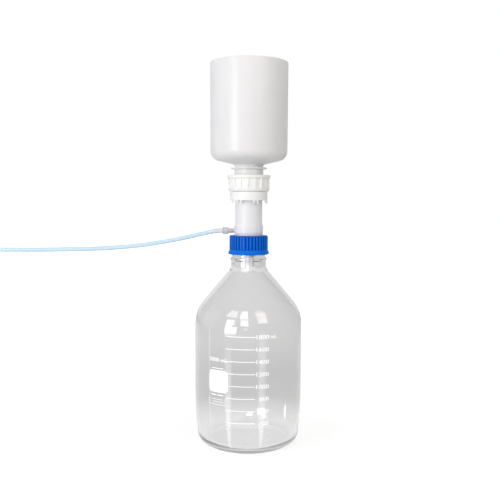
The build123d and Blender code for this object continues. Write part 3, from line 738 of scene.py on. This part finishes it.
# Polypropylene, injection moulded: saturated blue, with painted shade that makes the blue darker towards the
# groove floors between the ribs, by distance from the axis, with a satin skin, faint flow clouds in the
# colour and the fine grain of a spark-eroded mould, drawn at 0.25 mm so that it shows.
blue_polypropylene, tree, output = new_material("blue_moulded_polypropylene")
place = add_node(tree, "ShaderNodeTexCoord")
clouds = add_node(
    tree, "ShaderNodeTexNoise", {"Vector": place.outputs["Object"], "Scale": 1 / 0.009, "Detail": 2.0}
)
grain = add_node(
    tree, "ShaderNodeTexNoise", {"Vector": place.outputs["Object"], "Scale": 1 / 0.00025, "Detail": 2.0}
)
level_part = {0: place.outputs["Object"], 1: (1, 1, 0)}
across = add_node(tree, "ShaderNodeVectorMath", level_part, operation="MULTIPLY")
out = add_node(tree, "ShaderNodeVectorMath", {0: across.outputs[0]}, operation="LENGTH")
# Painted shade: the blue is darker nearer the axis, at the groove floors between the ribs.
rise = {"Value": out.outputs["Value"], "From Min": 23.5 * mm, "From Max": 24.4 * mm}
groove_shade_mask = add_node(tree, "ShaderNodeMapRange", rise)
painted_groove_shade = add_node(
    tree,
    "ShaderNodeMix",
    {0: clouds.outputs["Fac"], 6: linear("#003EA4"), 7: linear("#0046B0")},
    data_type="RGBA",
)
bright = add_node(
    tree,
    "ShaderNodeMix",
    {0: clouds.outputs["Fac"], 6: linear("#0068D8"), 7: linear("#0276E8")},
    data_type="RGBA",
)
base_tone = add_node(
    tree,
    "ShaderNodeMix",
    {0: groove_shade_mask.outputs[0], 6: painted_groove_shade.outputs[2], 7: bright.outputs[2]},
    data_type="RGBA",
)
satin = add_node(tree, "ShaderNodeMapRange", {"Value": clouds.outputs["Fac"], "To Min": 0.2, "To Max": 0.3})
eroded = add_node(
    tree, "ShaderNodeBump", {"Height": grain.outputs["Fac"], "Strength": 0.25, "Distance": 0.02 * mm}
)
moulded = add_node(
    tree,
    "ShaderNodeBsdfPrincipled",
    {
        "Base Color": base_tone.outputs[2],
        "Roughness": satin.outputs[0],
        "IOR": 1.49,
        "Specular IOR Level": 0.12,
        "Normal": eroded.outputs[0],
    },
)
tree.links.new(moulded.outputs[0], output.inputs["Surface"])
finish_piece(cap, blue_polypropylene, "cap", "screw_cap")

# ---------------------------------------------------------------- Adapter tube and drip tube
# Natural polypropylene mouldings: the tube with its thicker hub and clamped flange, and the
# thin spout inside it that shows through the neck. Milky, faintly blue, with a satin skin.

adapter = turned(
    "adapter",
    [
        (14.8, 261.0, 0),
        (21.2, 261.0, 0.3),
        (21.2, 263.0, 0.3),
        (17.5, 263.0, 0.3),
        (17.5, 265.4, 0.5),
        (18.25, 268.2, 2.0),
        (18.25, 278.0, 0.6),
        (17.0, 278.0, 0.3),
        (17.0, 315.0, 0.3),
        (14.8, 315.0, 0),
    ],
)
drip_tube = turned(
    "drip_spout",
    [(5.6, 218.0, 0.2), (7.5, 218.0, 0.8), (7.5, 319.0, 0.2), (5.6, 319.0, 0.2)],
    steps=64,
)

# Polypropylene without pigment, injection moulded: milky white, faintly blue, light sinks a
# little into it. Long flow lines run up the tube, and its skin is satin and slightly uneven.
natural_polypropylene, tree, output = new_material("natural_moulded_polypropylene")
place = add_node(tree, "ShaderNodeTexCoord")
upright = add_node(
    tree, "ShaderNodeMapping", {"Vector": place.outputs["Object"], "Scale": (1 / 0.004, 1 / 0.004, 1 / 0.03)}
)
flow = add_node(tree, "ShaderNodeTexNoise", {"Vector": upright.outputs[0], "Scale": 1.0, "Detail": 3.0})
grain = add_node(
    tree, "ShaderNodeTexNoise", {"Vector": place.outputs["Object"], "Scale": 1 / 0.0004, "Detail": 2.0}
)
milk = add_node(
    tree,
    "ShaderNodeMix",
    {0: flow.outputs["Fac"], 6: linear("#EAEBEF"), 7: linear("#F1F2F5")},
    data_type="RGBA",
)
satin = add_node(tree, "ShaderNodeMapRange", {"Value": flow.outputs["Fac"], "To Min": 0.3, "To Max": 0.42})
skin = add_node(
    tree, "ShaderNodeBump", {"Height": grain.outputs["Fac"], "Strength": 0.2, "Distance": 0.03 * mm}
)
milky = add_node(
    tree,
    "ShaderNodeBsdfPrincipled",
    {
        "Base Color": milk.outputs[2],
        "Roughness": satin.outputs[0],
        "IOR": 1.49,
        "Subsurface Weight": 0.3,
        "Subsurface Radius": (1.0, 1.0, 1.0),
        "Subsurface Scale": 2 * mm,
        "Normal": skin.outputs[0],
    },
)
tree.links.new(milky.outputs[0], output.inputs["Surface"])
finish_piece(adapter, natural_polypropylene, "holder", "adapter_tube")
finish_piece(drip_tube, natural_polypropylene, "holder", "drip_tube")

# ---------------------------------------------------------------- Filter base and collar nut
# White polypropylene mouldings, opaque and clean white: the base with its ring and the ten pins
# left under it, and the union nut with eighteen ribs between recessed panels.

base_shell = turned(
    "holder_base",
    [
        (7.55, 309.0, 0),
        (10.5, 309.0, 0),
        (10.5, 316.0, 0),
        (17.05, 316.0, 0),
        (17.05, 309.0, 0),
        (19.2, 309.0, 0.2),
        (19.2, 317.0, 0),
        (22.0, 317.0, 0),
        (22.0, 309.0, 0.3),
        (23.6, 309.0, 0.9),
        (23.6, 320.0, 0.5),
        (20.9, 320.0, 0),
        (20.9, 329.0, 0.3),
        (18.8, 329.0, 0),
        (18.8, 327.3, 0),
        (17.2, 327.3, 0),
        (5.6, 321.2, 0),
        (5.6, 319.0, 0),
        (7.55, 319.0, 0),
    ],
)
base_thread = helical_ridge("base_thread", 20.9, 22.1, 3.0, 321.9, 5.1, 1.7, 0.7)
pin_place = (22.8 * mm, 0, 306.7 * mm)
base_pins = []
for angle in (-60.7, -39.7, -26.5, 17.1, 29.3, 66.8, 90.5, 137.0, 150.0, 209.5):
    bpy.ops.object.select_all(action="DESELECT")
    bpy.ops.mesh.primitive_uv_sphere_add(
        segments=16, ring_count=12, radius=1.3 * mm, location=pin_place
    )
    pin = bpy.context.object
    pin.name = "base_pin"
    bpy.ops.object.mode_set(mode="EDIT")
    pick(lambda co: co.z > 1e-6)
    bpy.ops.transform.translate(value=(-0.3 * mm, 0, 2.5 * mm))
    bpy.ops.mesh.select_all(action="SELECT")
    bpy.ops.transform.resize(value=(0.6, 1.0, 1.0), center_override=pin_place)
    bpy.ops.object.mode_set(mode="OBJECT")
    bpy.ops.object.transform_apply(location=True, rotation=True, scale=True)
    bpy.ops.object.shade_smooth_by_angle(angle=math.radians(40))
    pin.data.transform(Matrix.Rotation(math.radians(angle - 90), 4, "Z"))
    base_pins.append(pin)
holder_base = joined("holder_base", [base_shell, base_thread, *base_pins])

nut_shell = turned(
    "nut",
    [
        (22.45, 320.3, 0.2),
        (24.4, 320.3, 0.3),
        (25.4, 321.4, 0.5),
        (26.0, 323.8, 0.4),
        (24.9, 324.9, 0.5),
        (24.9, 336.2, 0.3),
        (25.6, 336.6, 0.2),
        (27.2, 337.2, 0.4),
        (27.2, 340.6, 0.7),
        (19.0, 340.6, 0.4),
        (19.0, 337.0, 0.2),
        (22.45, 337.0, 0),
    ],
)
nut_ribs = copies_around(grip_rib("nut_rib", 25.35, 1.9, 1.7, 323.3, 337.4, 0.3), 18, start=-92.0)
nut_thread = helical_ridge("nut_thread", 22.45, 21.25, 3.0, 323.4, 5.1, 1.5, 0.6)
nut = joined("nut", [nut_shell, nut_ribs, nut_thread])

# Polypropylene with white pigment, injection moulded: opaque, nearly neutral, satin, with faint
# clouds where the melt flowed and the fine grain of the mould's wall.
white_polypropylene, tree, output = new_material("white_moulded_polypropylene")
place = add_node(tree, "ShaderNodeTexCoord")
clouds = add_node(
    tree, "ShaderNodeTexNoise", {"Vector": place.outputs["Object"], "Scale": 1 / 0.007, "Detail": 3.0}
)
grain = add_node(
    tree, "ShaderNodeTexNoise", {"Vector": place.outputs["Object"], "Scale": 1 / 0.0003, "Detail": 2.0}
)
base_tone = add_node(
    tree,
    "ShaderNodeMix",
    {0: clouds.outputs["Fac"], 6: linear("#F5F6F3"), 7: linear("#FAFBF9")},
    data_type="RGBA",
)
satin = add_node(tree, "ShaderNodeMapRange", {"Value": clouds.outputs["Fac"], "To Min": 0.3, "To Max": 0.5})
eroded = add_node(
    tree, "ShaderNodeBump", {"Height": grain.outputs["Fac"], "Strength": 0.25, "Distance": 0.02 * mm}
)
opaque = add_node(
    tree,
    "ShaderNodeBsdfPrincipled",
    {
        "Base Color": base_tone.outputs[2],
        "Roughness": satin.outputs[0],
        "IOR": 1.49,
        "Subsurface Weight": 0.04,
        "Subsurface Radius": (1.0, 1.0, 1.0),
        "Subsurface Scale": 1 * mm,
        "Normal": eroded.outputs[0],
    },
)
tree.links.new(opaque.outputs[0], output.inputs["Surface"])
finish_piece(holder_base, white_polypropylene, "holder", "filter_base")
finish_piece(nut, white_polypropylene, "nut", "collar_nut")

# ---------------------------------------------------------------- Funnel
# Natural high-density polyethylene, blow moulded neck and all like a bottle and cut open at its
# base. Milky white with a satin skin, and thin enough for light to come through the wall.

funnel = turned(
    "cup",
    [
        (18.1, 333.0, 0.2),
        (18.1, 348.4, 0.3),
        (22.6, 348.4, 0.4),
        (22.6, 350.2, 0.4),
        (18.1, 350.2, 0.3),
        (18.1, 353.7, 2.0),
        (48.3, 361.2, 11.5),
        (48.85, 479.4, 0.6),
        (47.25, 479.4, 0.6),
        (46.7, 362.45, 9.9),
        (16.5, 354.95, 3.6),
        (16.5, 333.0, 0.2),
    ],
    steps=160,
    fineness=5.0,
)

# High-density polyethylene, blow moulded: waxy and milky, its wall a little uneven in thickness,
# which shows as faint clouds, and its skin with the shallow ripple that the mould leaves.
natural_polyethylene, tree, output = new_material("natural_blow_moulded_polyethylene")
place = add_node(tree, "ShaderNodeTexCoord")
clouds = add_node(
    tree, "ShaderNodeTexNoise", {"Vector": place.outputs["Object"], "Scale": 1 / 0.022, "Detail": 3.0}
)
ripple = add_node(
    tree, "ShaderNodeTexNoise", {"Vector": place.outputs["Object"], "Scale": 1 / 0.0035, "Detail": 3.0}
)
milk = add_node(
    tree,
    "ShaderNodeMix",
    {0: clouds.outputs["Fac"], 6: linear("#EBEBEB"), 7: linear("#F1F1F1")},
    data_type="RGBA",
)
satin = add_node(tree, "ShaderNodeMapRange", {"Value": ripple.outputs["Fac"], "To Min": 0.3, "To Max": 0.4})
peel = add_node(
    tree, "ShaderNodeBump", {"Height": ripple.outputs["Fac"], "Strength": 0.15, "Distance": 0.1 * mm}
)
waxy = add_node(
    tree,
    "ShaderNodeBsdfPrincipled",
    {
        "Base Color": milk.outputs[2],
        "Roughness": satin.outputs[0],
        "IOR": 1.53,
        "Subsurface Weight": 0.4,
        "Subsurface Radius": (1.0, 1.0, 1.0),
        "Subsurface Scale": 4 * mm,
        "Normal": peel.outputs[0],
    },
)
tree.links.new(waxy.outputs[0], output.inputs["Surface"])
finish_piece(funnel, natural_polyethylene, "funnel_half", "funnel")

# ---------------------------------------------------------------- Vacuum port and hose fittings
# Clear polycarbonate mouldings: the ribbed stub pressed in the hub, the hose barb with its
# tapered nose, and the ring that turns on it and locks it on the stub. The far end has the same.


def along_x(piece, x, y, z, way):
    """Turns a piece made along +Z to lie along X, pointing way, with its foot at the given place."""
    turn = Matrix.Rotation(way * math.pi / 2, 4, "Y")
    piece.data.transform(Matrix.Translation((x * mm, y * mm, z * mm)) @ turn)
    return piece


barb_foot, _, port_height = hose_route[0]
port_outline = [(1.5, 15.3, 0), (2.95, 15.3, 0.2)]
for ring_place in (20.4, 22.1, 23.8):
    port_outline.append((2.6, ring_place, 0.1))
    port_outline.append((3.4, ring_place + 0.1, 0.2))
    port_outline.append((3.4, ring_place + 0.8, 0.2))
    port_outline.append((2.6, ring_place + 0.9, 0.1))
port_outline += [
    (2.95, 25.2, 0.2),
    (2.95, 28.8, 0.1),
    (3.6, 28.8, 0.2),
    (3.6, 29.8, 0.2),
    (2.95, 29.8, 0.1),
    (2.95, 30.0, 0),
    (2.1, 30.0, 0.1),
    (2.0, 22.0, 0),
    (1.5, 22.0, 0),
]
port = along_x(turned("port", port_outline, steps=48), 0, 0, port_height, -1)

# Polycarbonate, injection moulded: hard and see-through, but clouded grey by its thick and thin
# places, with a bright polish that is dulled a little by handling.
clear_polycarbonate, tree, output = new_material("clear_moulded_polycarbonate")
place = add_node(tree, "ShaderNodeTexCoord")
clouds = add_node(
    tree, "ShaderNodeTexNoise", {"Vector": place.outputs["Object"], "Scale": 1 / 0.0022, "Detail": 3.0}
)
tone = add_node(
    tree,
    "ShaderNodeMix",
    {0: clouds.outputs["Fac"], 6: linear("#DADADC"), 7: linear("#ECECEE")},
    data_type="RGBA",
)
polish = add_node(tree, "ShaderNodeMapRange", {"Value": clouds.outputs["Fac"], "To Min": 0.1, "To Max": 0.2})
drawn = add_node(
    tree, "ShaderNodeBump", {"Height": clouds.outputs["Fac"], "Strength": 0.2, "Distance": 0.05 * mm}
)
clear = add_node(
    tree,
    "ShaderNodeBsdfPrincipled",
    {
        "Base Color": tone.outputs[2],
        "Roughness": polish.outputs[0],
        "IOR": 1.585,
        "Transmission Weight": 0.4,
        "Normal": drawn.outputs[0],
    },
)
through = add_node(tree, "ShaderNodeBsdfTransparent", {"Color": linear("#D8D8DA")})
path = add_node(tree, "ShaderNodeLightPath")
lit = add_node(
    tree,
    "ShaderNodeMixShader",
    {0: path.outputs["Is Shadow Ray"], 1: clear.outputs[0], 2: through.outputs[0]},
)
tree.links.new(lit.outputs[0], output.inputs["Surface"])
finish_piece(port, clear_polycarbonate, "holder", "vacuum_port")

barb_outline = [
    (0.9, -9.0, 0),
    (1.85, -9.0, 0.1),
    (2.05, -3.1, 0),
    (3.3, -3.1, 0.1),
    (3.3, -2.7, 0.1),
    (2.3, -2.7, 0),
    (2.3, 0.0, 0.1),
    (1.5, 0.0, 0),
    (1.9, 3.5, 0),
    (1.5, 3.5, 0),
    (1.9, 6.5, 0),
    (1.5, 6.5, 0),
    (1.3, 9.5, 0.1),
    (0.9, 9.5, 0),
]
ring_outline = [
    (3.75, -7.4, 0.1),
    (4.1, -7.4, 0.2),
    (4.1, 0.0, 0.4),
    (2.4, 0.0, 0.1),
    (2.4, -2.4, 0.1),
    (3.75, -2.4, 0),
]


def lock_ring(name):
    """A lock ring with twelve fine grip ribs, its closed end at the origin facing +Z."""
    shell = turned(name, ring_outline, steps=48)
    ribs = copies_around(grip_rib("ring_rib", 4.1, 0.5, 0.9, -7.3, -0.4, 0.15), 12)
    return joined(name, [shell, ribs])


ring_play = 0.2
barb = along_x(turned("barb", barb_outline, steps=48), barb_foot, 0, port_height, -1)
finish_piece(barb, clear_polycarbonate, "holder", "hose_barb")
ring = along_x(lock_ring("lock_ring"), barb_foot + ring_play, 0, port_height, -1)
finish_piece(ring, clear_polycarbonate, "near_ring", "luer_lock_ring")

far_x, far_y, far_z = hose_route[-1]
far_barb = along_x(turned("far_barb", barb_outline, steps=48), far_x, far_y, far_z, 1)
finish_piece(far_barb, clear_polycarbonate, "holder", "far_hose_barb")
far_ring = along_x(lock_ring("far_ring"), far_x - ring_play, far_y, far_z, 1)
finish_piece(far_ring, clear_polycarbonate, "far_ring", "far_lock_ring")

# ---------------------------------------------------------------- Parts inside the holder
# Silicone seals, the perforated support disc, the membrane and the flanged socket on the funnel's
# neck. They stay as the construction has them and only get their finish.

# Silicone rubber, pressure moulded: off-white, matt, with a fine dusty bloom.
silicone, tree, output = new_material("moulded_silicone")
place = add_node(tree, "ShaderNodeTexCoord")
bloom = add_node(
    tree, "ShaderNodeTexNoise", {"Vector": place.outputs["Object"], "Scale": 1 / 0.0012, "Detail": 3.0}
)
tone = add_node(
    tree,
    "ShaderNodeMix",
    {0: bloom.outputs["Fac"], 6: linear("#DEDEDA"), 7: linear("#ECECE8")},
    data_type="RGBA",
)
dust = add_node(tree, "ShaderNodeMapRange", {"Value": bloom.outputs["Fac"], "To Min": 0.45, "To Max": 0.7})
soft = add_node(
    tree,
    "ShaderNodeBsdfPrincipled",
    {"Base Color": tone.outputs[2], "Roughness": dust.outputs[0], "IOR": 1.41},
)
tree.links.new(soft.outputs[0], output.inputs["Surface"])

# Cellulose membrane, cast and dried: bright white felt of fine fibres, quite without gloss.
membrane, tree, output = new_material("cellulose_membrane")
place = add_node(tree, "ShaderNodeTexCoord")
felt = add_node(tree, "ShaderNodeTexVoronoi", {"Vector": place.outputs["Object"], "Scale": 1 / 0.0005})
paper_tone = add_node(
    tree,
    "ShaderNodeMix",
    {0: felt.outputs["Distance"], 6: linear("#FBFBF9"), 7: linear("#EFEFEC")},
    data_type="RGBA",
)
fluff = add_node(
    tree, "ShaderNodeBump", {"Height": felt.outputs["Distance"], "Strength": 0.4, "Distance": 0.03 * mm}
)
fibre = add_node(
    tree,
    "ShaderNodeBsdfPrincipled",
    {"Base Color": paper_tone.outputs[2], "Roughness": 0.9, "Normal": fluff.outputs[0]},
)
tree.links.new(fibre.outputs[0], output.inputs["Surface"])
for name, material in (
    ("bottle_gasket", silicone),
    ("tube_seal", silicone),
    ("filter_gasket", silicone),
    ("funnel_seal", silicone),
    ("port_seal", silicone),
    ("support_screen", white_polypropylene),
    ("funnel_socket", white_polypropylene),
    ("membrane_filter", membrane),
):
    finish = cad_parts[name].data.materials
    finish.clear()
    finish.append(material)
